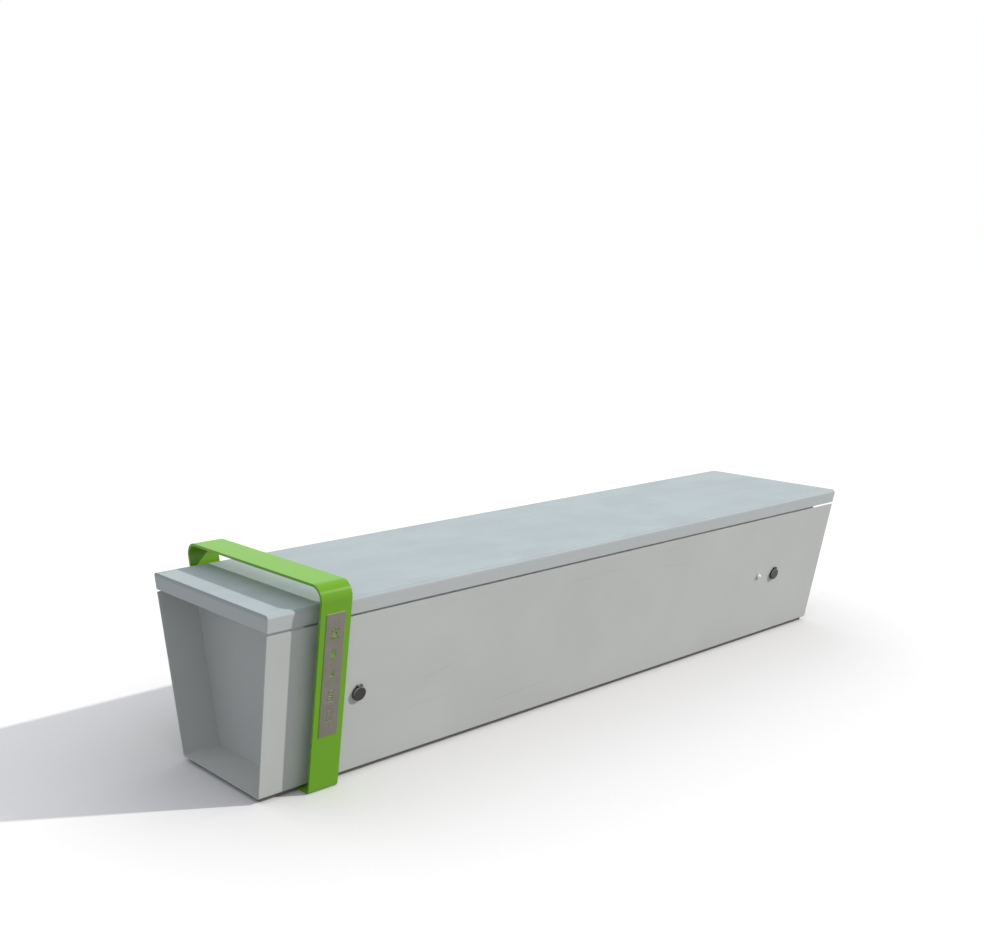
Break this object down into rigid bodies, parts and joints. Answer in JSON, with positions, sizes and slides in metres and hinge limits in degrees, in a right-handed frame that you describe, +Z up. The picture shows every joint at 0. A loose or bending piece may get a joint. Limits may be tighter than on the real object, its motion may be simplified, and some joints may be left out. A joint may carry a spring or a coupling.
{
  "type": "solar charging bench",
  "caption": "Free-standing solar charging bench: folded grey trough on a low plinth, pale solar seat, bent hoop with a pictogram plate, flip-cover charging ports and a wake button.",
  "frame": {"origin": "on the ground, at the middle of the bench's length and width", "axes": "+X runs along the bench from the end with the hoop to the other end, -Y is the front with the charging ports, +Z is up"},
  "size_m": [2.106, 0.5614, 0.5],
  "materials": {
    "shell_paint": "satin powder coat",
    "plinth_paint": "satin powder coat",
    "zinc_steel": "zinc plated",
    "stainless": "plain stainless",
    "mill_aluminium": "mill finish",
    "dark_aluminium": "black anodised",
    "brass": "plain",
    "seal_rubber": "matt",
    "core_board": "sealed board",
    "solar_laminate": "glossy",
    "seat_cover": "soft sheen, pale and light-passing",
    "black_plastic": "matt",
    "hoop_paint": "gloss powder coat",
    "plate_steel": "brushed",
    "port_plastic": "satin",
    "button_lens": "glossy",
    "battery_case": "matt",
    "controller_plastic": "satin",
    "white_plastic": "satin",
    "cable_black": "matt",
    "cable_red": "matt"
  },
  "bodies": {
    "bench": {"shell": "shell_paint", "end_panel_near": "shell_paint", "end_panel_far": "shell_paint", "end_panel_screws": "stainless", "plinth_front": "plinth_paint", "plinth_rear": "plinth_paint", "plinth_ends": "plinth_paint", "gap_seal": "seal_rubber", "seat_bearer_1": "zinc_steel", "seat_bearer_2": "zinc_steel", "seat_bearer_3": "zinc_steel", "seat_bearer_4": "zinc_steel", "bearing_pads": "seal_rubber", "bearer_rivets": "stainless", "seat_bolts": "stainless", "seat_inserts": "brass", "seat_pan": "mill_aluminium", "seat_core": "core_board", "solar_laminate_1": "solar_laminate", "solar_laminate_2": "solar_laminate", "solar_laminate_3": "solar_laminate", "junction_boxes": "black_plastic", "seat_cover": "seat_cover", "hoop": "hoop_paint", "hoop_bolts": "stainless", "pictogram_plate": "plate_steel", "service_frame": "mill_aluminium", "service_gasket": "seal_rubber", "service_panel": "shell_paint", "service_screws": "stainless", "port_bezel_near": "port_plastic", "port_bezel_far": "port_plastic", "port_gaskets": "seal_rubber", "port_nuts": "port_plastic", "port_socket_near": "black_plastic", "port_socket_far": "black_plastic", "port_pins": "stainless", "button_bezel": "shell_paint", "button_gasket": "seal_rubber", "button_nut": "stainless", "button_switch": "black_plastic", "battery": "battery_case", "battery_terminals": "brass", "battery_tray": "zinc_steel", "battery_clamp": "zinc_steel", "clamp_rods": "stainless", "equipment_plate": "mill_aluminium", "controller_heatsink": "dark_aluminium", "controller_case": "controller_plastic", "fuse_box": "white_plastic", "floor_screws": "stainless", "solar_loom": "cable_black", "battery_leads": "cable_red", "port_loom_near": "cable_black", "port_loom_far": "cable_black", "cable_clips": "white_plastic"},
    "near_cover": {"port_cover_near": "port_plastic"},
    "far_cover": {"port_cover_far": "port_plastic"},
    "button": {"button_cap": "button_lens"}
  },
  "joints": [
    {"name": "near_cover_hinge", "type": "hinge", "parent": "bench", "child": "near_cover", "pos_m": [-0.802, -0.21091, 0.22847], "axis": [-1, 0, 0], "range_deg": [0, 110]},
    {"name": "far_cover_hinge", "type": "hinge", "parent": "bench", "child": "far_cover", "pos_m": [0.802, -0.21091, 0.22847], "axis": [-1, 0, 0], "range_deg": [0, 110]},
    {"name": "button_press", "type": "slide", "parent": "bench", "child": "button", "axis": [0, 0.9842, 0.1771], "range_m": [0, 0.002], "stiffness_N_per_m": 400, "springref_m": -0.002}
  ]
}
